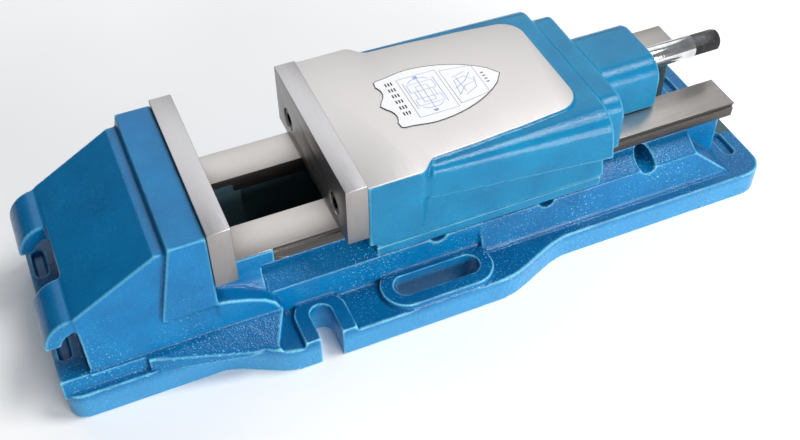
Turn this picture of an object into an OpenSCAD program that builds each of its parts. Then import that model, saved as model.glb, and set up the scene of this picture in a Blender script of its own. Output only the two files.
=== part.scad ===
/* [Jaws] */
// Width of both jaws
jaw_w = 160; // [156:1:170]
// Height of the jaw plates above the ways
jaw_h = 56; // [48:1:60]
// Thickness of each jaw plate
jaw_t = 18; // [15:0.5:20]
// Opening between the jaw plates, with the nut block in the first pin hole
opening = 87; // [2:1:98]
// Distance between the two screws of a jaw plate
screw_span = 105; // [90:1:120]
// Height of those screws above the ways
screw_rise = 20; // [16:1:26]

/* [Ways] */
// Height of the ways above the base
way_z = 90; // [88:1:94]
// Width over both ways
way_w = 120; // [116:1:122]
// Width of the channel between the ways
channel_w = 51.4; // [51:0.2:52]
// Thickness of the way flanges that the keepers hook under
way_t = 14.3; // [13:0.1:15]
// Distance from the fixed jaw plate's face to the end of the ways
way_end = 454.5; // [440:0.5:460]

/* [Base] */
// Thickness of the base flange
base_t = 25; // [22:1:28]
// Width of the base flange at its two ends
base_w = 178; // [174:1:180]
// Width of the base flange at its slots
base_wide = 224; // [220:1:232]
// Distance from the fixed jaw plate's face to the base's left end
base_left = 145; // [140:1:150]
// Distance from the fixed jaw plate's face to the base's right end
base_right = 486; // [480:1:490]
// Distance between the slots' centre lines
slot_span = 176; // [174:1:180]
// Width of the open slots for the holding-down bolts
open_slot_w = 18; // [16:1:18]
// Width of the closed slots
long_slot_w = 20; // [18:1:20]
// Travel of a bolt in a closed slot
long_slot_run = 55; // [45:1:60]
// Distance between the three pin holes
pin_step = 100; // [95:1:100]

/* [Screw] */
// Diameter of the lead screw
screw_d = 24; // [22:0.5:25]
// Diameter of the ground drive shaft
shaft_d = 20; // [18:0.5:20]
// Width across the flats of the drive hexagon
hex_af = 17; // [15:0.5:17]
// Height of the screw's axis above the ways
axis_rise = 22; // [21:0.5:23]
// Diameter of the position pin
pin_d = 16; // [14:0.5:16]

/* [Hidden] */
$fn = 64;

// Everything is drawn from the fixed jaw plate's working face (X = 0) and the underside (Z = 0), and place()
// then puts the origin at the middle of the base.
lug_x = base_left + 2;
centre_x = (base_right - lug_x) / 2;

half_w = jaw_w / 2;
way_half = way_w / 2;
channel_half = channel_w / 2;
base_half = base_w / 2;
wide_half = base_wide / 2;
slot_y = slot_span / 2;

// Heights of the bed's steps, from the underside
end_t = base_t + 2.5;
step_z = 40;
shoulder_z = 52;
web_z = 64;
web_half = 50;
under_way_z = way_z - way_t;
pad_h = 5;
runout_x = 33;
undercut_half = 32;

// Fixed jaw
wall_t = 28.6;
wall_top = way_z + jaw_h - 4;
wall_half = half_w - 1.2;
wedge_half = 74;
wedge_foot = 79.5;
ledge_half = 82;
foot_half = 86.5;
lug_r = 25;
lug_wall = 12;

// Slots, measured from the fixed jaw plate's face
open_slot_x = 58.5;
long_slot_x = 159.5;
pad_r = 22;

// Key pockets, measured from the base's middle
key_x = 200;
key_len = 60;

// Pin holes
pin_x = 169;
pin_z = way_z - 34;
run_fit = 0.06;
loose = 0.1;

// Sliding jaw, measured from its own plate's back
back_x = opening + jaw_t;
body_len = 209;
tail_len = 228;
boss_len = 55;
jaw_top = way_z + jaw_h - 2;
skirt_in = way_half + 2.5;
skirt_half = half_w - 4;
skirt_z = way_z - 15;
keeper_t = 10;
keeper_in = web_half + 1.5;
keeper_screw_y = 71;
keeper_screws_at = [30, 80, 135, 185];
cavity_half = 28;
bush_flange_r = 20;
bush_screw_r = 18.1;
cavity_z = way_z + 42.5;
cavity_from = 19;
cavity_to = 185;

// Screw line, with X from the sliding jaw plate's back
axis_z = way_z + axis_rise;
screw_r = screw_d / 2;
shaft_r = shaft_d / 2;
pin_r = pin_d / 2;
bore_r = 17;
bore_from = 195;
bearing_w = 9;
cyl_from = bore_from + bearing_w + 0.3;
cyl_to = 267;
cyl_wall = 5.7;
cyl_in = bore_r - 0.3 - cyl_wall;
chamber_from = 223;
piston_from = 233;
piston_len = 12;
gland_from = 269;
shaft_to = boss_len + tail_len + 56;
hex_len = 26;

// Cap screw: nominal diameter d, grip length
m12_d = 12;
m12_head_d = 18;
m8_d = 8;
m8_head_d = 13;

function s_curve(x0, y0, x1, y1, n = 14) =
    [for (i = [0:n]) let (t = i / n) [x0 + (x1 - x0) * t, y0 + (y1 - y0) * (3 * t * t - 2 * t * t * t)]];
function arc(cx, cy, r, a0, a1, n = 10) =
    [for (i = [0:n]) let (a = a0 + (a1 - a0) * i / n) [cx + r * cos(a), cy + r * sin(a)]];
function mirrored(pts) = concat(pts, [for (i = [len(pts) - 1:-1:0]) [pts[i][0], -pts[i][1]]]);

module place() translate([-centre_x, 0, 0]) children();
// A block from x0 to x1, y0 to y1 and z0 to z1
module block(x0, x1, y0, y1, z0, z1) translate([x0, y0, z0]) cube([x1 - x0, y1 - y0, z1 - z0]);
// A profile of [x, z] points, pulled from y0 to y1
module side_profile(y0, y1, pts)
    translate([0, y1, 0]) rotate([90, 0, 0]) linear_extrude(y1 - y0) polygon(pts);
// A profile of [y, z] points, pulled from x0 to x1
module end_profile(x0, x1, pts)
    translate([x0, 0, 0]) rotate([90, 0, 90]) linear_extrude(x1 - x0) polygon(pts);
// A rod along X, from x0 to x1 on the screw's axis
module rod(x0, x1, r) translate([x0, 0, axis_z]) rotate([0, 90, 0]) cylinder(r = r, h = x1 - x0);
module ring(x0, x1, ri, ro) difference() {
    rod(x0, x1, ro);
    rod(x0 - 1, x1 + 1, ri);
}
// A rod along Y, from y0 to y1
module cross_rod(x, z, y0, y1, r) translate([x, y1, z]) rotate([90, 0, 0]) cylinder(r = r, h = y1 - y0);
module both_sides() {
    children();
    mirror([0, 1, 0]) children();
}

// Bed and fixed jaw, one casting
module base_outline() {
    corner_l = 14;
    corner_r = 20;
    polygon(mirrored(concat(
        arc(-base_left + corner_l, base_half - corner_l, corner_l, 180, 90),
        s_curve(-30, base_half, 35, wide_half),
        s_curve(208, wide_half, 285, base_half),
        arc(base_right - corner_r, base_half - corner_r, corner_r, 90, 0))));
}
module slot_run(x, run, r, z0, z1) {
    for (dx = [-run / 2, run / 2]) translate([x + dx, slot_y, z0]) cylinder(r = r, h = z1 - z0);
    if (run > 0) block(x - run / 2, x + run / 2, slot_y - r, slot_y + r, z0, z1);
}
module base_flange() {
    linear_extrude(base_t) base_outline();
    intersection() {
        linear_extrude(way_z) base_outline();
        union() {
            block(-lug_x, 19, -wide_half, wide_half, 0, end_t);
            both_sides() {
                slot_run(long_slot_x, long_slot_run, pad_r, 0, base_t + pad_h);
                slot_run(open_slot_x, 0, pad_r, 0, base_t + pad_h);
                block(open_slot_x - pad_r, open_slot_x + pad_r, slot_y, wide_half, 0, base_t + pad_h);
            }
        }
    }
}
module bolt_slots() both_sides() {
    slot_run(long_slot_x, long_slot_run, long_slot_w / 2, -1, step_z);
    slot_run(open_slot_x, 0, open_slot_w / 2, -1, step_z);
    block(open_slot_x - open_slot_w / 2, open_slot_x + open_slot_w / 2, slot_y, wide_half + 20, -1, step_z);
}
// The two webs with their shoulders and way flanges, mirrored about the channel
module bed_body() {
    end_profile(-20, 452, [[-72.5, base_t - 1], [-70, shoulder_z], [-web_half, web_z],
        [-web_half, under_way_z + 1], [web_half, under_way_z + 1], [web_half, web_z], [70, shoulder_z],
        [72.5, base_t - 1]]);
    // Behind the slots the webs' feet are wider
    end_profile(206, 452, [[-81, base_t - 1], [-77.5, base_t + 3], [-70, shoulder_z - 0.1],
        [70, shoulder_z - 0.1], [77.5, base_t + 3], [81, base_t - 1]]);
    block(-20, way_end, -way_half, way_half, under_way_z, way_z);
    // Beside the fixed jaw the ways are left as cast, up to where the cutter ran out
    both_sides() side_profile(45, way_half + 1.5, [[-20, 70], [-20, way_z - 0.3], [runout_x, way_z - 0.3],
        [runout_x, 84], [runout_x + 2, 80], [runout_x + 6, 77], [runout_x + 12, under_way_z], [20, under_way_z],
        [20, 70]]);
    end_profile(-20, 22, [[-70, shoulder_z - 1], [-70, shoulder_z], [-62.5, web_z + 2], [-way_half - 1.5, 74],
        [way_half + 1.5, 74], [62.5, web_z + 2], [70, shoulder_z], [70, shoulder_z - 1]]);
}
module fixed_jaw() {
    side_profile(-wall_half, wall_half, [[-jaw_t, 67], [-jaw_t, wall_top], [-jaw_t - wall_t, wall_top],
        [-61, way_z - 18], [-61, 67]]);
    intersection() {
        side_profile(-100, 100, [[-jaw_t, base_t - 1], [-jaw_t, way_z + 44.7], [-56, way_z + 44.7],
            [-121.5, way_z + 6.2], [-121.5, base_t - 1]]);
        end_profile(-130, 0, [[-ledge_half, base_t - 1], [-ledge_half, step_z], [-wedge_foot, step_z],
            [-wedge_half, way_z], [-wedge_half, way_z + 60], [wedge_half, way_z + 60], [wedge_half, way_z],
            [wedge_foot, step_z], [ledge_half, step_z], [ledge_half, base_t - 1]]);
    }
    // Feet that run from the jaw's sides down to the slots
    both_sides() {
        side_profile(40, wall_half, [[-jaw_t - 1, 38], [-jaw_t - 1, 70], [-8, 67], [6, 62], [18, 56], [26, 49],
            [29, 42], [30, 38]]);
        hull() {
            block(-79, -77, 60, foot_half, base_t - 1, step_z);
            block(-79, 31, 60, 78, base_t - 1, step_z);
            block(0, 18, 60, 103, base_t - 1, end_t + 0.5);
        }
        hull() {
            block(-base_left, -78, 60, 80.5, base_t - 1, step_z);
            block(-base_left, -78, 60, 84, base_t - 1, base_t + 1);
        }
    }
}
module lugs() both_sides() difference() {
    side_profile(28, 73, concat([[-119, way_z - 20], [-119, way_z + 5]],
        arc(-lug_x + lug_r, way_z - 20, lug_r, 90, 180)));
    side_profile(27, 74, concat([[-122, way_z - 22]],
        arc(-lug_x + lug_r, way_z - 22, lug_r - lug_wall, 90, 180)));
}
module end_recess(x) for (s = [-1, 1]) {
    for (dy = [-10, 10]) translate([x, s * 45 + dy, 0]) cylinder(r = 5, h = 60);
    block(x - 5, x + 5, s * 45 - 10, s * 45 + 10, 0, 60);
}
module bed_casting() color([0.10, 0.45, 0.72]) place() difference() {
    union() {
        base_flange();
        bed_body();
        block(-base_left, 0, -75, 75, base_t - 1, step_z);
        fixed_jaw();
        lugs();
    }
    bolt_slots();
    block(-8, base_right + 1, -channel_half, channel_half, base_t, way_z + 1);
    block(runout_x, base_right + 1, -undercut_half, undercut_half, base_t, under_way_z - 2);
    // A groove along the outer side of each way
    both_sides() block(runout_x, way_end + 1, way_half - 1.3, way_half + 5, way_z - 5.2, way_z - 1);
    both_sides() side_profile(web_half, 90, [[419, web_z + 1], [419, shoulder_z], [452, base_t],
        [460, base_t], [460, web_z + 1]]);
    intersection() {
        end_recess(-136);
        block(-lug_x, -120, -90, 90, step_z - 5, step_z + 1);
    }
    intersection() {
        end_recess(468);
        block(way_end, base_right, -90, 90, base_t - 5, base_t + 1);
    }
    for (i = [0:2]) cross_rod(pin_x + i * pin_step, pin_z, -90, 90, pin_r + run_fit);
    for (s = [-1, 1]) translate([-jaw_t - 24, s * screw_span / 2, way_z + screw_rise])
        rotate([0, 90, 0]) cylinder(r = m12_d / 2 + loose, h = 30);
    // Two key pockets in the underside
    for (s = [-1, 1]) translate([centre_x + s * key_x, 0, 0]) block(-key_len / 2, key_len / 2, -9, 9, -1, 6);
}

// Jaw plate with its back at X = 0 and its face at X = jaw_t, screw holes counterbored from the face
module jaw_plate() difference() {
    block(0, jaw_t, -half_w, half_w, way_z + 0.1, way_z + jaw_h);
    for (s = [-1, 1]) translate([0, s * screw_span / 2, way_z + screw_rise]) rotate([0, 90, 0]) {
        translate([0, 0, -1]) cylinder(r = m12_d / 2 + 0.5, h = jaw_t + 2);
        translate([0, 0, jaw_t - 13]) cylinder(r = m12_head_d / 2 + 1, h = 14);
    }
}
// Socket cap screw along +X, with the underside of its head at X = 0
module cap_screw(d, head_d, grip) rotate([0, 90, 0]) difference() {
    union() {
        translate([0, 0, -grip]) cylinder(r = d / 2, h = grip + 0.1);
        cylinder(r = head_d / 2, h = d);
    }
    translate([0, 0, d * 0.45]) cylinder(d = d * 0.96, h = d, $fn = 6);
}
module plate_screws() for (s = [-1, 1])
    translate([jaw_t - 13, s * screw_span / 2, way_z + screw_rise]) cap_screw(m12_d, m12_head_d, 26);

module fixed_jaw_plate() color([0.74, 0.75, 0.77]) place() translate([-jaw_t, 0, 0]) jaw_plate();
module fixed_jaw_screws() color([0.16, 0.16, 0.17]) place() translate([-jaw_t, 0, 0]) plate_screws();
module moving_jaw_plate() color([0.74, 0.75, 0.77]) place() translate([back_x, 0, 0]) mirror([1, 0, 0])
    jaw_plate();
module moving_jaw_screws() color([0.16, 0.16, 0.17]) place() translate([back_x, 0, 0]) mirror([1, 0, 0])
    plate_screws();

// Sliding jaw, drawn from its plate's back
module wing_front() end_profile(54, 55, concat([[60, way_z + 21.5], [60, way_z + 46]],
    arc(half_w - 9.4, way_z + 42.4, 9.4, 110, 0, 6), [[half_w, way_z + 21.5]]));
module wing() {
    hull() {
        end_profile(46, 47, concat([[60, way_z + 24], [60, way_z + 38]],
            arc(half_w - 10, way_z + 37, 8, 110, 0, 5), [[half_w - 2, way_z + 24]]));
        wing_front();
    }
    hull() {
        wing_front();
        end_profile(body_len - 1, body_len, concat([[50, way_z + 13], [50, way_z + 51]],
            arc(62, way_z + 26, 25, 90, 15, 6), [[90, way_z + 13]]));
    }
}
// A section half_y wide on each side, from z0 to z1, with its top corners rounded
function round_top(half_y, z0, z1, r) =
    let (side = concat([[-half_y, z0]], arc(r - half_y, z1 - r, r, 180, 90)))
    concat(side, [for (i = [len(side) - 1:-1:0]) [-side[i][0], side[i][1]]]);
module moving_jaw_casting() color([0.10, 0.45, 0.72]) place() translate([back_x, 0, 0]) difference() {
    union() {
        linear_extrude(jaw_top) polygon(mirrored(concat([[0, half_w], [42, half_w]],
            s_curve(43, half_w, 60, 68.5, 8), s_curve(80, 67.5, 133, 64, 4), [[172, 60]],
            arc(172, 40, 20, 90, 0))));
        block(1, body_len, -72, 72, way_z + 0.1, way_z + 40);
        end_profile(1, body_len, round_top(68, way_z + 0.1, way_z + 48.5, 8));
        end_profile(165, body_len, round_top(66, way_z + 0.1, way_z + 51, 10));
        end_profile(body_len - 1, tail_len, round_top(69, way_z + 0.1, way_z + 49, 18));
        both_sides() {
            wing();
            linear_extrude(way_z + 30) polygon(concat([[0, 60], [0, half_w]],
                s_curve(30, half_w, 48, skirt_half), [[body_len, skirt_half], [body_len, 60]]));
            end_profile(0, body_len, [[60, skirt_z], [half_w, skirt_z], [half_w, skirt_z + 3],
                [skirt_half, way_z + 6], [60, way_z + 6]]);
        }
        end_profile(tail_len - 1, tail_len + boss_len, round_top(37, way_z + 1, way_z + 46, 20));
    }
    block(-1, tail_len + 10, -skirt_in, skirt_in, -1, way_z + 0.1);
    block(-1, tail_len + 10, -100, 100, -1, skirt_z);
    block(-1, 6, -100, 100, -1, skirt_z + 4);
    block(cavity_from, cavity_to, -cavity_half, cavity_half, way_z - 20, cavity_z);
    rod(cavity_to - 1, bore_from + 1, screw_r + 0.4);
    rod(bore_from, tail_len + boss_len + 1, bore_r);
    for (s = [-1, 1]) translate([0, s * screw_span / 2, way_z + screw_rise]) rotate([0, 90, 0])
        translate([0, 0, -1]) cylinder(r = m12_d / 2 + loose, h = 25);
    for (s = [-1, 1], x = keeper_screws_at) translate([x, s * keeper_screw_y, skirt_z - 1])
        cylinder(r = m8_d / 2 + loose, h = 22);
}

// Keepers, hooked under the ways
module keeper() {
    chamfer = 1;
    difference() {
        end_profile(6, body_len - 2, [[keeper_in, skirt_z - keeper_t], [half_w - chamfer, skirt_z - keeper_t],
            [half_w, skirt_z - keeper_t + chamfer], [half_w, skirt_z], [keeper_in, skirt_z]]);
        for (x = keeper_screws_at) translate([x, keeper_screw_y, skirt_z - keeper_t - 1]) {
            cylinder(r = m8_d / 2 + 0.3, h = keeper_t + 2);
            cylinder(r = m8_head_d / 2 + 0.5, h = 6);
        }
    }
}
module near_keeper() color([0.10, 0.45, 0.72]) place() translate([back_x, 0, 0]) mirror([0, 1, 0]) keeper();
module far_keeper() color([0.10, 0.45, 0.72]) place() translate([back_x, 0, 0]) keeper();
module keeper_screws() color([0.16, 0.16, 0.17]) place() translate([back_x, 0, 0])
    for (s = [-1, 1], x = keeper_screws_at) translate([x, s * keeper_screw_y, skirt_z - keeper_t + 0.5])
        difference() {
            union() {
                cylinder(r = m8_head_d / 2, h = 4.5);
                cylinder(r = m8_d / 2, h = 24);
            }
            translate([0, 0, -1]) cylinder(d = 6.9, h = 3.5, $fn = 6);
        }

// Label, a thin shield on the sliding jaw's top
module label_plate() color([0.92, 0.92, 0.90]) place() translate([back_x, 0, jaw_top]) linear_extrude(0.5)
    polygon(mirrored(concat([[43, 0], [46, 5.5]], arc(37.5, 15.5, 13, -40, 35, 6), [[48.8, 29]],
        s_curve(52, 30.5, 78, 34, 5),
        [for (t = [0.1:0.1:1]) [78 + 71 * t, 34 * pow(1 - pow(t, 1.9), 0.72)]])));

// Nut block, pinned to the bed
module nut_block() color([0.35, 0.36, 0.38]) place() difference() {
    union() {
        block(pin_x - 29, pin_x + 29, -channel_half + 0.4, channel_half - 0.4, base_t + 0.5, way_z);
        block(pin_x - 29, pin_x + 29, -24, 24, way_z - 1, way_z + 41);
    }
    cross_rod(pin_x, pin_z, -40, 40, pin_r + run_fit);
    rod(pin_x - 40, pin_x + 40, 16 + loose);
    for (a = [45:90:315]) translate([pin_x + 15, 0, axis_z]) rotate([a, 0, 0]) translate([0, 0, bush_screw_r])
        rotate([0, 90, 0]) cylinder(r = 1.35, h = 20, $fn = 24);
}
module nut_bush() color([0.72, 0.52, 0.25]) place() difference() {
    union() {
        rod(pin_x - 29, pin_x + 29, 16);
        rod(pin_x + 29.1, pin_x + 31.4, bush_flange_r);
        rod(pin_x + 28, pin_x + 30, 16);
    }
    rod(pin_x - 40, pin_x + 40, screw_r + run_fit);
    for (a = [45:90:315]) translate([pin_x + 15, 0, axis_z]) rotate([a, 0, 0]) translate([0, 0, bush_screw_r])
        rotate([0, 90, 0]) cylinder(r = 1.5, h = 30, $fn = 24);
}
module nut_bush_screws() color([0.16, 0.16, 0.17]) place()
    for (a = [45:90:315]) translate([pin_x + 17, 0, axis_z]) rotate([a, 0, 0]) translate([0, 0, bush_screw_r])
        rotate([0, 90, 0]) {
            cylinder(r = 1.25, h = 15, $fn = 24);
            translate([0, 0, 14.5]) cylinder(r = 2.4, h = 1.5, $fn = 24);
        }

// Position pin with its knob
module position_pin() color([0.66, 0.67, 0.70]) place() {
    cross_rod(pin_x, pin_z, -56, 90, pin_r);
    translate([pin_x, -56, pin_z]) rotate([90, 0, 0]) cylinder(r1 = pin_r, r2 = pin_r - 2, h = 2);
}
module pin_knob() color([0.10, 0.10, 0.11]) place() difference() {
    translate([pin_x, 84, pin_z]) rotate([-90, 0, 0]) rotate_extrude()
        polygon(concat([[0, 0], [9, 0], [9, 4]], [for (p = arc(9, 12, 4, -60, 90, 8)) p], [[0, 16]]));
    cross_rod(pin_x, pin_z, 80, 90.2, pin_r + loose);
}

// Screw line
module lead_screw() color([0.55, 0.56, 0.58]) place() translate([back_x, 0, 0]) difference() {
    rod(24, chamber_from - 0.2, screw_r);
    rod(20, 40, 3.1);
    cross_rod(cyl_from + 8, axis_z, -30, 30, 2.5 + loose);
}
module stop_washer() color([0.55, 0.56, 0.58]) place() translate([back_x, 0, 0]) ring(20.9, 23.9, 3.4, 15);
module stop_screw() color([0.16, 0.16, 0.17]) place() translate([back_x, 0, 0])
    difference() {
        union() {
            rod(20.5, 38, 3);
            rod(19.4, 20.8, 5);
        }
        translate([19, 0, axis_z]) rotate([0, 90, 0]) cylinder(d = 5, h = 1.2, $fn = 6);
    }
module thrust_washers() color([0.70, 0.71, 0.73]) place() translate([back_x, 0, 0]) {
    ring(bore_from, bore_from + 2, screw_r + 0.4, bore_r - loose);
    ring(bore_from + bearing_w - 2, bore_from + bearing_w, screw_r + 0.4, bore_r - loose);
}
module thrust_balls() color([0.80, 0.81, 0.83]) place() translate([back_x, 0, 0])
    for (a = [0:30:330]) translate([bore_from + bearing_w / 2, 0, axis_z]) rotate([a, 0, 0])
        translate([0, 0, 14.6]) sphere(r = 2, $fn = 20);
module booster_cylinder() color([0.60, 0.61, 0.63]) place() translate([back_x, 0, 0]) difference() {
    rod(cyl_from, cyl_to, bore_r - 0.3);
    rod(cyl_from - 1, chamber_from, screw_r + loose);
    rod(chamber_from - 1, cyl_to + 1, cyl_in);
    cross_rod(cyl_from + 8, axis_z, -30, 30, 2.5 + loose);
}
module drive_pin() color([0.66, 0.67, 0.70]) place() translate([back_x, 0, 0])
    cross_rod(cyl_from + 8, axis_z, -16, 16, 2.5);
module cylinder_cap() color([0.60, 0.61, 0.63]) place() translate([back_x, 0, 0])
    ring(cyl_to - 8, cyl_to, shaft_r + run_fit, cyl_in - loose);
module return_spring() color([0.45, 0.46, 0.48]) place() translate([back_x, 0, 0])
    for (i = [0:3]) ring(chamber_from + 0.2 + i * 1.1, chamber_from + 1.1 + i * 1.1, 5, cyl_in - 1.5);
module booster_piston() color([0.68, 0.69, 0.71]) place() translate([back_x, 0, 0]) difference() {
    union() {
        rod(piston_from, piston_from + piston_len, cyl_in - run_fit);
        rod(piston_from + piston_len - 1, piston_from + piston_len + 7, 5);
    }
    ring(piston_from + 4, piston_from + 7, cyl_in - 2, cyl_in + 1);
}
module piston_seal() color([0.08, 0.08, 0.08]) place() translate([back_x, 0, 0])
    ring(piston_from + 4.2, piston_from + 6.8, cyl_in - 1.9, cyl_in - run_fit);
module gland_ring() color([0.78, 0.79, 0.81]) place() translate([back_x, 0, 0]) difference() {
    union() {
        rod(gland_from, tail_len + boss_len, bore_r - loose);
        rod(tail_len + boss_len - 1, tail_len + boss_len + 3, 14);
    }
    rod(gland_from - 1, tail_len + boss_len + 1, shaft_r + run_fit);
    rod(tail_len + boss_len - 1, tail_len + boss_len + 9, 12.5);
}
module wiper_seal() color([0.06, 0.06, 0.06]) place() translate([back_x, 0, 0])
    ring(tail_len + boss_len - 0.8, tail_len + boss_len + 3.5, shaft_r + run_fit, 12.4);
module drive_shaft() color([0.78, 0.79, 0.81]) place() translate([back_x, 0, 0]) {
    rod(piston_from + piston_len + 12, shaft_to, shaft_r);
    rod(shaft_to - 1, shaft_to + 1, shaft_r - 1.6);
    intersection() {
        translate([shaft_to, 0, axis_z]) rotate([0, 90, 0])
            cylinder(d = hex_af / cos(30), h = hex_len, $fn = 6);
        translate([shaft_to - 1, 0, axis_z]) rotate([0, 90, 0])
            cylinder(r1 = 36, r2 = shaft_r - 1.5, h = hex_len + 1);
    }
}
module shaft_collar() color([0.78, 0.79, 0.81]) place() translate([back_x, 0, 0])
    ring(tail_len + boss_len + 4.5, tail_len + boss_len + 8.5, shaft_r + 0.05, 11.6);

bed_casting();
fixed_jaw_plate();
fixed_jaw_screws();
moving_jaw_casting();
moving_jaw_plate();
moving_jaw_screws();
near_keeper();
far_keeper();
keeper_screws();
label_plate();
nut_block();
nut_bush();
nut_bush_screws();
position_pin();
pin_knob();
lead_screw();
stop_washer();
stop_screw();
thrust_washers();
thrust_balls();
booster_cylinder();
drive_pin();
cylinder_cap();
booster_piston();
piston_seal();
return_spring();
gland_ring();
wiper_seal();
drive_shaft();
shaft_collar();
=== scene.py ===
import math
import bpy
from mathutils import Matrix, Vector


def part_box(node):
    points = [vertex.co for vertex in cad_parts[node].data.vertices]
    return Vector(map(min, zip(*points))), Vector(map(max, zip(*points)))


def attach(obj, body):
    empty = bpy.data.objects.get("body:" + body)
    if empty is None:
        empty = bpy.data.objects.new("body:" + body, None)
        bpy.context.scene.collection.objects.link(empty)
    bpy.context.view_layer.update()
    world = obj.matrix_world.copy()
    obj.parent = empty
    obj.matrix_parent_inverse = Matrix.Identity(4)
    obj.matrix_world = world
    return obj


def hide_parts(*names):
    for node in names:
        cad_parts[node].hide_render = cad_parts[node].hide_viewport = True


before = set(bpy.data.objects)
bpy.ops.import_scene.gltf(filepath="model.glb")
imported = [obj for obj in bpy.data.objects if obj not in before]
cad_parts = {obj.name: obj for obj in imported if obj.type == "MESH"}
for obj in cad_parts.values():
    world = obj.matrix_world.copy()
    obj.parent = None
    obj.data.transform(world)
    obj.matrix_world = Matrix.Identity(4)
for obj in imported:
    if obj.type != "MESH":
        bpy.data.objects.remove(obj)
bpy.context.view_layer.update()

# Studio: a pale table, a long soft light in front of the near side, a broad panel behind and above for the
# ground faces to mirror, and a dim sky. The camera stands over the near left corner and looks down the ways.
bpy.ops.object.select_all(action="DESELECT")
bpy.ops.mesh.primitive_plane_add(size=14, location=(0, 0, 0))
table = bpy.context.active_object
table.name = "table"
table_skin = bpy.data.materials.new("table_skin")
table_skin.use_nodes = True
table_shader = table_skin.node_tree.nodes["Principled BSDF"]
table_shader.inputs["Base Color"].default_value = (0.92, 0.92, 0.92, 1)
table_shader.inputs["Roughness"].default_value = 0.7
table_shader.inputs["Specular IOR Level"].default_value = 0.2
table.data.materials.append(table_skin)

sky = bpy.data.worlds.new("studio")
sky.use_nodes = True
sky.node_tree.nodes["Background"].inputs["Color"].default_value = (0.93, 0.96, 1, 1)
sky.node_tree.nodes["Background"].inputs["Strength"].default_value = 0.27
bpy.context.scene.world = sky
bpy.context.scene.view_settings.view_transform = "Standard"


def soft_light(name, place, aim, size, power):
    bpy.ops.object.light_add(type="AREA", location=place)
    lamp = bpy.context.active_object
    lamp.name = name
    lamp.data.shape = "RECTANGLE"
    lamp.data.size, lamp.data.size_y = size
    lamp.data.energy = power
    way = Vector(aim) - Vector(place)
    lamp.rotation_euler = way.to_track_quat("-Z", "Y").to_euler()


soft_light("key_light", (0.95, -0.35, 2.1), (0, 0, 0.1), (0.8, 0.8), 32)
soft_light("front_fill", (0.6, -2.2, 0.8), (0, 0, 0.05), (1.8, 0.8), 52)
soft_light("rear_panel", (0.6, 2.4, 2.2), (0.3, 0, 0.1), (4.8, 2.6), 48)

# A black card on the left keeps the slope of the fixed jaw deep in colour. The camera doesn't see it.
bpy.ops.mesh.primitive_plane_add(size=1, location=(-1.7, 0.7, 0.75), rotation=(0, math.radians(90), 0))
card = bpy.context.active_object
card.name = "black_card"
card.scale = (1.5, 3.2, 1)
card.visible_camera = False
card_skin = bpy.data.materials.new("card_skin")
card_skin.use_nodes = True
card_skin.node_tree.nodes["Principled BSDF"].inputs["Base Color"].default_value = (0.01, 0.01, 0.01, 1)
card.data.materials.append(card_skin)

bpy.ops.object.camera_add(location=(-0.2683, -0.6142, 0.7174))
camera = bpy.context.active_object
camera.rotation_euler = [math.radians(turn) for turn in (43.2475, 0.2355, -23.4552)]
camera.data.lens = 49.63
camera.data.sensor_width = 36
bpy.context.scene.camera = camera

# Bed and fixed jaw: one grey iron casting, sand-cast, so every corner runs soft. It is filled on the jaw,
# left rough on the base, and sprayed all over with glossy blue enamel, with a painted highlight on its
# corners.


def make_active(piece):
    bpy.ops.object.select_all(action="DESELECT")
    piece.select_set(True)
    bpy.context.view_layer.objects.active = piece


def copy_of(node, name):
    """A closed copy of a CAD node, its triangles joined."""
    piece = bpy.data.objects.new(name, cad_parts[node].data.copy())
    bpy.context.collection.objects.link(piece)
    piece.data.materials.clear()
    make_active(piece)
    bpy.ops.object.mode_set(mode="EDIT")
    bpy.ops.mesh.select_all(action="SELECT")
    bpy.ops.mesh.remove_doubles(threshold=2e-6)
    bpy.ops.object.mode_set(mode="OBJECT")
    return piece


def apply_modifier(piece, kind, **settings):
    step = piece.modifiers.new(kind.lower(), kind)
    for setting, value in settings.items():
        setattr(step, setting, value)
    make_active(piece)
    bpy.ops.object.modifier_apply(modifier=step.name)


def box_tool(low, high):
    """A block from its lowest to its highest corner, to cut with."""
    middle = [(a + b) / 2 for a, b in zip(low, high)]
    bpy.ops.object.select_all(action="DESELECT")
    bpy.ops.mesh.primitive_cube_add(size=1, location=middle)
    tool = bpy.context.active_object
    tool.scale = [b - a for a, b in zip(low, high)]
    bpy.ops.object.transform_apply(location=True, rotation=True, scale=True)
    return tool


def cut(piece, tool, action):
    apply_modifier(piece, "BOOLEAN", operation=action, object=tool, solver="EXACT")
    bpy.data.objects.remove(tool)


def sand_cast(piece, grain, rounds, keep):
    """Runs the corners soft: a fine skin over the shape, smoothed and thinned."""
    apply_modifier(piece, "REMESH", mode="VOXEL", voxel_size=grain)
    apply_modifier(piece, "SMOOTH", factor=0.5, iterations=rounds)
    apply_modifier(piece, "DECIMATE", ratio=keep)
    bpy.ops.object.shade_smooth()


def finish_piece(piece, skin, slot, body, *nodes):
    """Gives a piece its material and body, and hides the CAD nodes it stands for. The slot is not used."""
    piece.data.materials.append(skin)
    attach(piece, body)
    if nodes:
        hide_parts(*nodes)


def new_skin(name, colour, metallic, roughness):
    """A material with its tree and shader, ready for the procedural detail."""
    skin = bpy.data.materials.new(name)
    skin.use_nodes = True
    shader = skin.node_tree.nodes["Principled BSDF"]
    shader.inputs["Base Color"].default_value = (*colour, 1)
    shader.inputs["Metallic"].default_value = metallic
    shader.inputs["Roughness"].default_value = roughness
    return skin, skin.node_tree, shader


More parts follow.
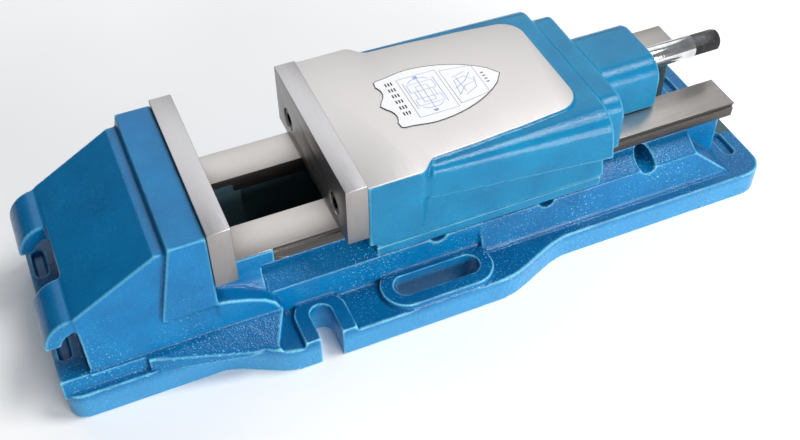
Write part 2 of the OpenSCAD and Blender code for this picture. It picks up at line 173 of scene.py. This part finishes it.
def noise_at(tree, stretch, scale, detail=3.0):
    """Noise on the piece's own coordinates, stretched along an axis."""
    place = tree.nodes.new("ShaderNodeTexCoord")
    mapping = tree.nodes.new("ShaderNodeMapping")
    mapping.inputs["Scale"].default_value = stretch
    noise = tree.nodes.new("ShaderNodeTexNoise")
    noise.inputs["Scale"].default_value = scale
    noise.inputs["Detail"].default_value = detail
    tree.links.new(place.outputs["Object"], mapping.inputs["Vector"])
    tree.links.new(mapping.outputs["Vector"], noise.inputs["Vector"])
    return noise.outputs["Fac"]


def coordinate(tree, axis):
    """The piece's own x, y or z, in metres."""
    place = tree.nodes.new("ShaderNodeTexCoord")
    parts = tree.nodes.new("ShaderNodeSeparateXYZ")
    tree.links.new(place.outputs["Object"], parts.inputs["Vector"])
    return parts.outputs[axis]


def ranged(tree, source, low, high, out_low, out_high):
    node = tree.nodes.new("ShaderNodeMapRange")
    for socket, value in zip(("From Min", "From Max", "To Min", "To Max"), (low, high, out_low, out_high)):
        node.inputs[socket].default_value = value
    tree.links.new(source, node.inputs["Value"])
    return node.outputs["Result"]


def calculated(tree, action, first, second=0.0):
    node = tree.nodes.new("ShaderNodeMath")
    node.operation = action
    for value, socket in zip((first, second), node.inputs):
        if isinstance(value, float):
            socket.default_value = value
        else:
            tree.links.new(value, socket)
    return node.outputs["Value"]


def mixed(tree, amount, first, second):
    """The first colour, going to the second as amount goes from 0 to 1."""
    node = tree.nodes.new("ShaderNodeMix")
    node.data_type = "RGBA"
    tree.links.new(amount, node.inputs[0])
    for value, socket in ((first, node.inputs[6]), (second, node.inputs[7])):
        if isinstance(value, tuple):
            socket.default_value = (*value, 1)
        else:
            tree.links.new(value, socket)
    return node.outputs[2]


def bumped(tree, shader, source, strength, distance, under=None):
    node = tree.nodes.new("ShaderNodeBump")
    node.inputs["Distance"].default_value = distance
    if isinstance(strength, float):
        node.inputs["Strength"].default_value = strength
    else:
        tree.links.new(strength, node.inputs["Strength"])
    tree.links.new(source, node.inputs["Height"])
    if under:
        tree.links.new(under, node.inputs["Normal"])
    tree.links.new(node.outputs["Normal"], shader.inputs["Normal"])
    return node.outputs["Normal"]


def blue_enamel(name, deep, bright, rough_below, rough_top, is_bed=False):
    """Glossy blue enamel, clouded between two blues, with painted glints, a painted highlight on the corners
    and painted shade in the creases; on the bed also painted shade low down and in the channel, and a painted
    reflection on the flange's sides. The sand grain shows fully below one height and fades out up to another."""
    skin, tree, shader = new_skin(name, deep, 0.0, 0.30)
    shader.inputs["Specular IOR Level"].default_value = 0.08
    shader.inputs["Coat Weight"].default_value = 0.4
    shader.inputs["Coat Roughness"].default_value = 0.2
    cloud = ranged(tree, noise_at(tree, (1, 1, 1), 34), 0.35, 0.65, 0, 1)
    paint = mixed(tree, cloud, deep, bright)
    low = ranged(tree, coordinate(tree, "Z"), 0.03, 0.10, 0.45 if is_bed else 0.0, 0.0)
    facing = tree.nodes.new("ShaderNodeSeparateXYZ")
    tree.links.new(tree.nodes.new("ShaderNodeNewGeometry").outputs["Normal"], facing.inputs["Vector"])
    # Painted shade: on the bed, low faces that look upward are darkened towards deep blue.
    low_shade = calculated(tree, "MULTIPLY", low, ranged(tree, facing.outputs["Z"], 0.15, 0.75, 0, 1))
    paint = mixed(tree, low_shade, paint, (0.0, 0.042, 0.150))
    speck = ranged(tree, noise_at(tree, (1, 1, 1), 640, 2), 0.62, 0.75, 0, 0.4)
    paint = mixed(tree, speck, paint, (0.02, 0.28, 0.48))
    grain = ranged(tree, coordinate(tree, "Z"), rough_below, rough_top, 1.0, 0.25)
    crowd = ranged(tree, noise_at(tree, (1, 1, 1), 22, 2), 0.40, 0.62, 0.0, 0.65 if is_bed else 0.15)
    glint_spread = calculated(tree, "MULTIPLY", grain, crowd)
    # Painted glints: pale cyan dots in the colour stand in for sparkle off the grain, spread where the grain
    # is strong.
    glint = ranged(tree, noise_at(tree, (1, 1, 1), 760, 1), 0.64, 0.72, 0, 1)
    paint = mixed(tree, calculated(tree, "MULTIPLY", glint, glint_spread), paint, (0.30, 0.70, 0.85))
    corner = tree.nodes.new("ShaderNodeNewGeometry").outputs["Pointiness"]
    sharp = ranged(tree, corner, 0.512, 0.548, 0, 1)
    # Painted highlight: convex corners are lightened to pale cyan, more strongly low on the piece.
    edge_highlight = calculated(tree, "MULTIPLY", sharp, ranged(tree, coordinate(tree, "Z"), 0.05, 0.09, 0.85, 0.45))
    paint = mixed(tree, edge_highlight, paint, (0.20, 0.60, 0.76))
    # Painted shade: concave creases are darkened to deep blue.
    crease_shade = ranged(tree, corner, 0.49, 0.455, 0, 0.8)
    paint = mixed(tree, crease_shade, paint, (0.0, 0.045, 0.14))
    if is_bed:
        # Painted reflection: steep faces low on the bed's flange are lightened, standing in for the pale
        # table mirrored in them.
        rim_reflection = ranged(tree, coordinate(tree, "Z"), 0.017, 0.026, 0.4, 0.0)
        upright = ranged(tree, facing.outputs["Z"], 0.2, 0.5, 1, 0)
        paint = mixed(tree, calculated(tree, "MULTIPLY", rim_reflection, upright), paint, (0.10, 0.42, 0.72))
        # Painted shade: inside the channel, past the jaw plate and above a low height, the paint is turned
        # nearly black.
        across = calculated(tree, "ABSOLUTE", coordinate(tree, "Y"))
        inside = calculated(tree, "LESS_THAN", across, 0.0335)
        past_jaw = calculated(tree, "GREATER_THAN", coordinate(tree, "X"), face_x - 0.009)
        above = calculated(tree, "GREATER_THAN", coordinate(tree, "Z"), 0.0245)
        channel_shade = calculated(tree, "MULTIPLY", calculated(tree, "MULTIPLY", inside, past_jaw), above)
        paint = mixed(tree, channel_shade, paint, (0.045, 0.085, 0.10))
    tree.links.new(paint, shader.inputs["Base Color"])
    gloss = ranged(tree, noise_at(tree, (1, 1, 1), 300, 2), 0.3, 0.7, 0.24, 0.38)
    tree.links.new(gloss, shader.inputs["Roughness"])
    swell = bumped(tree, shader, noise_at(tree, (1, 1, 1), 170, 1), grain, 0.0003)
    bumped(tree, shader, noise_at(tree, (1, 1, 1), 700, 1), grain, 0.00032, swell)
    tree.links.new(shader.inputs["Normal"].links[0].from_socket, shader.inputs["Coat Normal"])
    return skin


# Measured from the fixed jaw plate's face: where the milled sides start, the end of the ways, and their
# underside. The plate stands 0.1 mm clear of the way tops.
plate_lo, plate_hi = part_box("fixed_jaw_plate")
face_x = plate_hi.x
way_top = plate_lo.z - 0.0001
runout_x = face_x + 0.033
way_end = face_x + 0.4545
under_way = way_top - 0.0143

iron = copy_of("bed_casting", "bed_iron")
for low_x, high_x, half_y, low_z in ((runout_x, way_end + 0.001, 0.08, under_way - 0.0006),
                                     (face_x - 0.0005, runout_x + 0.001, 0.06, way_top - 0.0008)):
    cut(iron, box_tool((low_x, -half_y, low_z), (high_x, half_y, way_top + 0.002)), "DIFFERENCE")
sand_cast(iron, 0.0012, 5, 0.3)
bed_skin = blue_enamel("bed_enamel", (0, 0.132, 0.335), (0, 0.164, 0.390), 0.045, 0.100, True)
finish_piece(iron, bed_skin, "blue_paint", "bed", "bed_casting")

# The two ways: the same casting, milled and then ground bare. A groove runs along each outer side, and the
# cutter's run-out shows at the jaw end.


def ground_steel(name, along, tint, roughness=(0.32, 0.44), contrast=0.86):
    """Ground steel: fine lines along one axis, over a faint cloud of handling marks."""
    skin, tree, shader = new_skin(name, tint, 1.0, 0.4)
    stretch = [26, 26, 26]
    stretch[along] = 0.8
    line = noise_at(tree, stretch, 60, 4)
    dull = tuple(contrast * part for part in tint)
    cloud = ranged(tree, noise_at(tree, (1, 1, 1), 18), 0.42, 0.75, 0, 0.6)
    tone = mixed(tree, ranged(tree, line, 0.3, 0.7, 0, 1), dull, tint)
    tree.links.new(mixed(tree, cloud, tone, dull), shader.inputs["Base Color"])
    tree.links.new(ranged(tree, line, 0.3, 0.7, *roughness), shader.inputs["Roughness"])
    bumped(tree, shader, line, 0.10, 0.0002)
    return skin


def broken_edges(piece, width):
    """Flat faces merged, and every sharp edge broken with a small round."""
    make_active(piece)
    bpy.ops.object.mode_set(mode="EDIT")
    bpy.ops.mesh.select_all(action="SELECT")
    bpy.ops.mesh.dissolve_limited(angle_limit=math.radians(0.5))
    bpy.ops.object.mode_set(mode="OBJECT")
    sharp = math.radians(35)
    apply_modifier(piece, "BEVEL", width=width, segments=2, limit_method="ANGLE", angle_limit=sharp)
    bpy.ops.object.shade_smooth_by_angle(angle=sharp)


way_steel = ground_steel("way_steel", 0, (0.56, 0.53, 0.51))
milled_side = ground_steel("milled_side", 0, (0.12, 0.108, 0.100), (0.40, 0.52), 0.7)
for side, name in ((-1, "near_way"), (1, "far_way")):
    way = copy_of("bed_casting", name)
    low_y, high_y = sorted((side * 0.0150, side * 0.0604))
    low = (face_x - 0.0005, low_y, under_way - 0.0008)
    high = (way_end + 0.001, high_y, way_top + 0.001)
    cut(way, box_tool(low, high), "INTERSECT")
    broken_edges(way, 0.0003)
    finish_piece(way, way_steel, "ground_steel", "bed", "bed_casting")
    way.data.materials.append(milled_side)
    for face in way.data.polygons:
        face.material_index = 1 if face.normal.z < 0.6 else 0

# Fixed jaw plate: hardened steel, ground all over, with its edges stoned. Two blackened socket cap screws in
# counterbores hold it to the fixed jaw.
plate_steel = ground_steel("plate_steel", 1, (0.53, 0.52, 0.535))
# Painted shade: the plates' side faces take a darker copy of the same ground steel.
shaded_plate_side = ground_steel("shaded_plate_side", 2, (0.36, 0.34, 0.33), (0.36, 0.48))


def plate_piece(node, name, body):
    plate = copy_of(node, name)
    broken_edges(plate, 0.0005)
    finish_piece(plate, plate_steel, "ground_steel", body, node)
    plate.data.materials.append(shaded_plate_side)
    for face in plate.data.polygons:
        face.material_index = 1 if face.normal.z < 0.6 else 0


plate_piece("fixed_jaw_plate", "fixed_plate", "bed")


def black_oxide(name):
    """Blackened steel, a little oily, with faint brown wear."""
    skin, tree, shader = new_skin(name, (0.02, 0.02, 0.022), 0.8, 0.4)
    wear = ranged(tree, noise_at(tree, (1, 1, 1), 260), 0.5, 0.8, 0, 0.7)
    tree.links.new(mixed(tree, wear, (0.022, 0.022, 0.024), (0.07, 0.06, 0.05)), shader.inputs["Base Color"])
    gloss = ranged(tree, noise_at(tree, (1, 1, 1), 900), 0.3, 0.7, 0.3, 0.5)
    tree.links.new(gloss, shader.inputs["Roughness"])
    bumped(tree, shader, noise_at(tree, (1, 1, 1), 1200), 0.15, 0.0002)
    return skin


def dress(node, skin):
    """A CAD node whose shape is already right: only its material is set."""
    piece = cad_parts[node]
    piece.data.materials.clear()
    piece.data.materials.append(skin)


screw_black = black_oxide("screw_black")
for node in ("fixed_jaw_screws", "moving_jaw_screws", "keeper_screws", "nut_bush_screws", "stop_screw"):
    dress(node, screw_black)

# Sliding jaw: a second iron casting, filled and sprayed smoother than the bed, in a slightly greener batch
# of the enamel. It rides on the ways, and its tail holds the force booster.
jaw_lo, jaw_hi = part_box("moving_jaw_casting")
back_x = jaw_lo.x
jaw_top = jaw_hi.z
slider = copy_of("moving_jaw_casting", "slider_iron")
top_corner = (jaw_hi.x, 0.1, jaw_top + 0.01)
cut(slider, box_tool((back_x - 0.01, -0.1, jaw_top - 0.0008), top_corner), "DIFFERENCE")
sand_cast(slider, 0.0012, 5, 0.35)
slider_skin = blue_enamel("slider_enamel", (0, 0.148, 0.305), (0, 0.180, 0.350), 0.01, 0.19)
finish_piece(slider, slider_skin, "blue_paint", "sliding_jaw", "moving_jaw_casting")

# Ground top of the sliding jaw: the same casting, ground bare after painting. It stands just proud of the
# paint, with its edge broken.
ground_top = copy_of("moving_jaw_casting", "slider_ground_top")
cut(ground_top, box_tool((back_x - 0.01, -0.1, jaw_top - 0.0014), top_corner), "INTERSECT")
broken_edges(ground_top, 0.0003)
top_steel = ground_steel("slider_top_steel", 1, (0.62, 0.60, 0.59), (0.42, 0.50), 0.95)
finish_piece(ground_top, top_steel, "ground_steel", "sliding_jaw", "moving_jaw_casting")

# Moving jaw plate: a twin of the fixed one, in the same ground steel. Two cap screws hold it to the
# sliding jaw.
plate_piece("moving_jaw_plate", "moving_plate", "sliding_jaw")

# Keepers: two cast iron strips that hook under the ways, so the jaw can't lift. Eight cap screws pull them
# up to the sliding jaw's skirt, and they are sprayed with it.
for node in ("near_keeper", "far_keeper"):
    strip = copy_of(node, node + "_strip")
    sand_cast(strip, 0.0009, 3, 0.3)
    finish_piece(strip, slider_skin, "blue_paint", "sliding_jaw", node)

# Label: printed film in the shape of a shield, with a black border and thin line drawings in blue, and
# plain dashes and bars beside them. It is stuck on the ground top.
label_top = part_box("label_plate")[1].z


def print_ink(name, colour):
    skin, tree, shader = new_skin(name, colour, 0.0, 0.35)
    fade = ranged(tree, noise_at(tree, (1, 1, 1), 500), 0.4, 0.8, 0, 0.4)
    light = tuple(min(1, part * 0.8 + 0.08) for part in colour)
    tree.links.new(mixed(tree, fade, colour, light), shader.inputs["Base Color"])
    bumped(tree, shader, noise_at(tree, (1, 1, 1), 900), 0.05, 0.0001)
    return skin


border_ink = print_ink("border_ink", (0.012, 0.012, 0.014))
blue_ink = print_ink("blue_ink", (0.18, 0.27, 0.62))
pale_ink = print_ink("pale_ink", (0.22, 0.23, 0.30))
label = copy_of("label_plate", "label_film")
bpy.ops.object.mode_set(mode="EDIT")
bpy.ops.mesh.select_all(action="SELECT")
bpy.ops.mesh.dissolve_limited(angle_limit=math.radians(1))
bpy.ops.mesh.select_all(action="DESELECT")
bpy.ops.object.mode_set(mode="OBJECT")
for face in label.data.polygons:
    face.select = face.normal.z > 0.9
label.data.materials.append(border_ink)
label.data.materials.append(print_ink("label_white", (0.76, 0.76, 0.77)))
bpy.ops.object.mode_set(mode="EDIT")
bpy.ops.mesh.inset(thickness=0.0007)
bpy.context.object.active_material_index = 1
bpy.ops.object.material_slot_assign()
bpy.ops.object.mode_set(mode="OBJECT")
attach(label, "sliding_jaw")
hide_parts("label_plate")


def printed_line(points, width, ink, name):
    """A flat printed line through points, given in millimetres from the label's corner of the jaw."""
    line = bpy.data.curves.new(name, "CURVE")
    line.dimensions = "3D"
    line.bevel_depth = width / 2000
    line.bevel_resolution = 0
    spline = line.splines.new("POLY")
    spline.points.add(len(points) - 1)
    for point, (x, y) in zip(spline.points, points):
        point.co = (back_x + x / 1000, y / 1000, label_top, 1)
    piece = bpy.data.objects.new(name, line)
    bpy.context.collection.objects.link(piece)
    make_active(piece)
    bpy.ops.object.convert(target="MESH")
    for vertex in piece.data.vertices:
        vertex.co.z = min(vertex.co.z, label_top + 0.00006)
    piece.data.materials.append(ink)
    return piece


def joined(lines, name):
    bpy.ops.object.select_all(action="DESELECT")
    for line in lines:
        line.select_set(True)
    bpy.context.view_layer.objects.active = lines[0]
    bpy.ops.object.join()
    lines[0].name = name
    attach(lines[0], "sliding_jaw")


def box_line(x0, x1, y0, y1):
    return [(x0, y0), (x1, y0), (x1, y1), (x0, y1), (x0, y0)]


frames = [box_line(67, 101, -24.5, 24.5), [(104, -22), (104, 22), (131, 18), (131, -18), (104, -22)]]
joined([printed_line(points, 0.6, pale_ink, "frame") for points in frames], "label_frames")
vise_drawing = [box_line(72, 94, -12, -4), box_line(72, 94, 5, 15), box_line(75, 91, -4, 5),
                box_line(78, 88, -9, 11), [(70, -15), (70, 18)], [(96, -15), (96, 18)], [(83, -18), (83, 21)],
                [(74, -14), (78, -17), (88, -17), (92, -14)], [(74, 17), (78, 20), (88, 20), (92, 17)]]
work_drawing = [[(108, -12), (116, -3), (126, -1), (120, 8), (110, 6), (108, -12)],
                [(112, -14), (124, -8), (127, 4)], [(107, -4), (118, 2), (126, 11)],
                [(110, 10), (122, 13)], [(114, -10), (113, 9)]]
drawings = vise_drawing + work_drawing
joined([printed_line(points, 0.55, blue_ink, "stroke") for points in drawings], "label_drawing")
arrows = [[(80.5, 21.5), (84.5, 21.5)], [(81, 22.5), (84, 22.5)], [(80.5, -20.5), (84.5, -20.5)],
          [(81, -21.5), (84, -21.5)]]
joined([printed_line(points, 1.6, blue_ink, "arrow") for points in arrows], "label_arrows")
mark_starts = (20, 12.5, 5, -2.5, -10, -17.5)
marks = [[(57 + row * 2.4, y), (57 + row * 2.4, y + 4)] for y in mark_starts for row in (0, 1, 2)]
marks += [[(134, y), (136.5, y)] for y in (-6, -2, 2, 6)]
joined([printed_line(points, 1.3, border_ink, "mark") for points in marks], "label_marks")

# Nut block and bush: a bare iron block that stands in the bed's channel, held there by the position pin.
# The screw runs in its turned bronze bush, which four small screws hold.


def turned_steel(name, colour, roughness, metallic=1.0, lathe=0.25):
    """A lathe-turned face along X: fine rings, and a little cloud."""
    skin, tree, shader = new_skin(name, colour, metallic, roughness)
    cloud = ranged(tree, noise_at(tree, (1, 1, 1), 90), 0.4, 0.7, 0, 1)
    dull = tuple(0.72 * part for part in colour)
    tree.links.new(mixed(tree, cloud, colour, dull), shader.inputs["Base Color"])
    rings = noise_at(tree, (60, 1, 1), 40)
    gloss = ranged(tree, rings, 0.3, 0.7, roughness * 0.8, roughness * 1.3)
    tree.links.new(gloss, shader.inputs["Roughness"])
    bumped(tree, shader, rings, lathe, 0.0002)
    return skin


dress("nut_block", turned_steel("bare_iron", (0.13, 0.13, 0.135), 0.5, 0.7, 0.4))
dress("nut_bush", turned_steel("bronze", (0.55, 0.34, 0.13), 0.34))

# Position pin: a turned steel pin, pushed in from the far side through the bed and the nut block. Its
# black plastic knob is moulded on.
lathe_steel = turned_steel("lathe_steel", (0.42, 0.42, 0.43), 0.32)
dress("position_pin", lathe_steel)
knob_skin, knob_tree, knob_shader = new_skin("knob_black", (0.012, 0.012, 0.013), 0.0, 0.3)
bumped(knob_tree, knob_shader, noise_at(knob_tree, (1, 1, 1), 700), 0.12, 0.0003)
dress("pin_knob", knob_skin)

# Screw line: the lead screw, its thrust bearing and the force booster, all turned steel, inside the sliding
# jaw. The booster's seal is black rubber.
for node in ("lead_screw", "stop_washer", "thrust_washers", "booster_cylinder", "drive_pin", "cylinder_cap",
             "booster_piston", "return_spring"):
    dress(node, lathe_steel)
dress("thrust_balls", turned_steel("ball_steel", (0.66, 0.66, 0.67), 0.12, 1.0, 0.05))
rubber, rubber_tree, rubber_shader = new_skin("black_rubber", (0.012, 0.012, 0.012), 0.0, 0.6)
bumped(rubber_tree, rubber_shader, noise_at(rubber_tree, (1, 1, 1), 800), 0.2, 0.0003)
dress("piston_seal", rubber)

# Gland, wiper and collar: a bright turned ring pressed in the mouth of the boss, round a black rubber lip,
# and the collar on the shaft outside them.
bright_steel = turned_steel("bright_steel", (0.74, 0.74, 0.75), 0.13, 1.0, 0.08)
dress("gland_ring", bright_steel)
dress("wiper_seal", rubber)
dress("shaft_collar", bright_steel)

# Drive shaft: hardened steel, ground and polished where it slides through the gland. Its end is milled to a
# hexagon for the wrench and blackened.
shaft_lo, shaft_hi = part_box("drive_shaft")
hex_x = shaft_hi.x - 0.026
shaft = copy_of("drive_shaft", "polished_shaft")
below = shaft_lo.z - 0.01
above = shaft_hi.z + 0.01
cut(shaft, box_tool((shaft_lo.x - 0.01, -0.02, below), (hex_x, 0.02, above)), "INTERSECT")
broken_edges(shaft, 0.0004)
finish_piece(shaft, bright_steel, "bright_steel", "driver", "drive_shaft")
hexagon = copy_of("drive_shaft", "drive_hexagon")
cut(hexagon, box_tool((hex_x, -0.02, below), (shaft_hi.x + 0.01, 0.02, above)), "INTERSECT")
broken_edges(hexagon, 0.0004)
finish_piece(hexagon, screw_black, "black_oxide", "driver", "drive_shaft")
